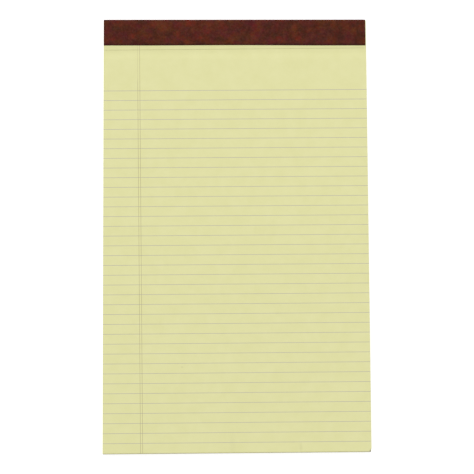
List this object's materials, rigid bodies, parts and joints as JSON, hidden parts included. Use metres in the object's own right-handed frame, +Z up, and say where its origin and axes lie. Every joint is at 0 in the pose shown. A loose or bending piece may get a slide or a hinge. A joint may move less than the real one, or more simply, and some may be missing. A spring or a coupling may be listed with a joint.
{
  "type": "legal pad",
  "caption": "Top-bound ruled writing pad of legal size: canary sheets with a tear-off perforation, grey chipboard back, and a brown leatherette tape folded over the stapled head.",
  "frame": {"origin": "under the middle of the pad, on the surface that it lies on", "axes": "+Y along the pad's length towards its bound head, +X to the right of someone who writes on it, +Z up out of the top sheet"},
  "size_m": [0.216, 0.3556, 0.0058],
  "materials": {
    "canary_paper": "matte",
    "grey_chipboard": "matte",
    "leatherette_tape": "satin",
    "staple_wire": "satin"
  },
  "bodies": {
    "root": {"sheets": "canary_paper", "chipboard_back": "grey_chipboard", "binding_tape": "leatherette_tape", "wire_staples": "staple_wire"}
  },
  "joints": []
}
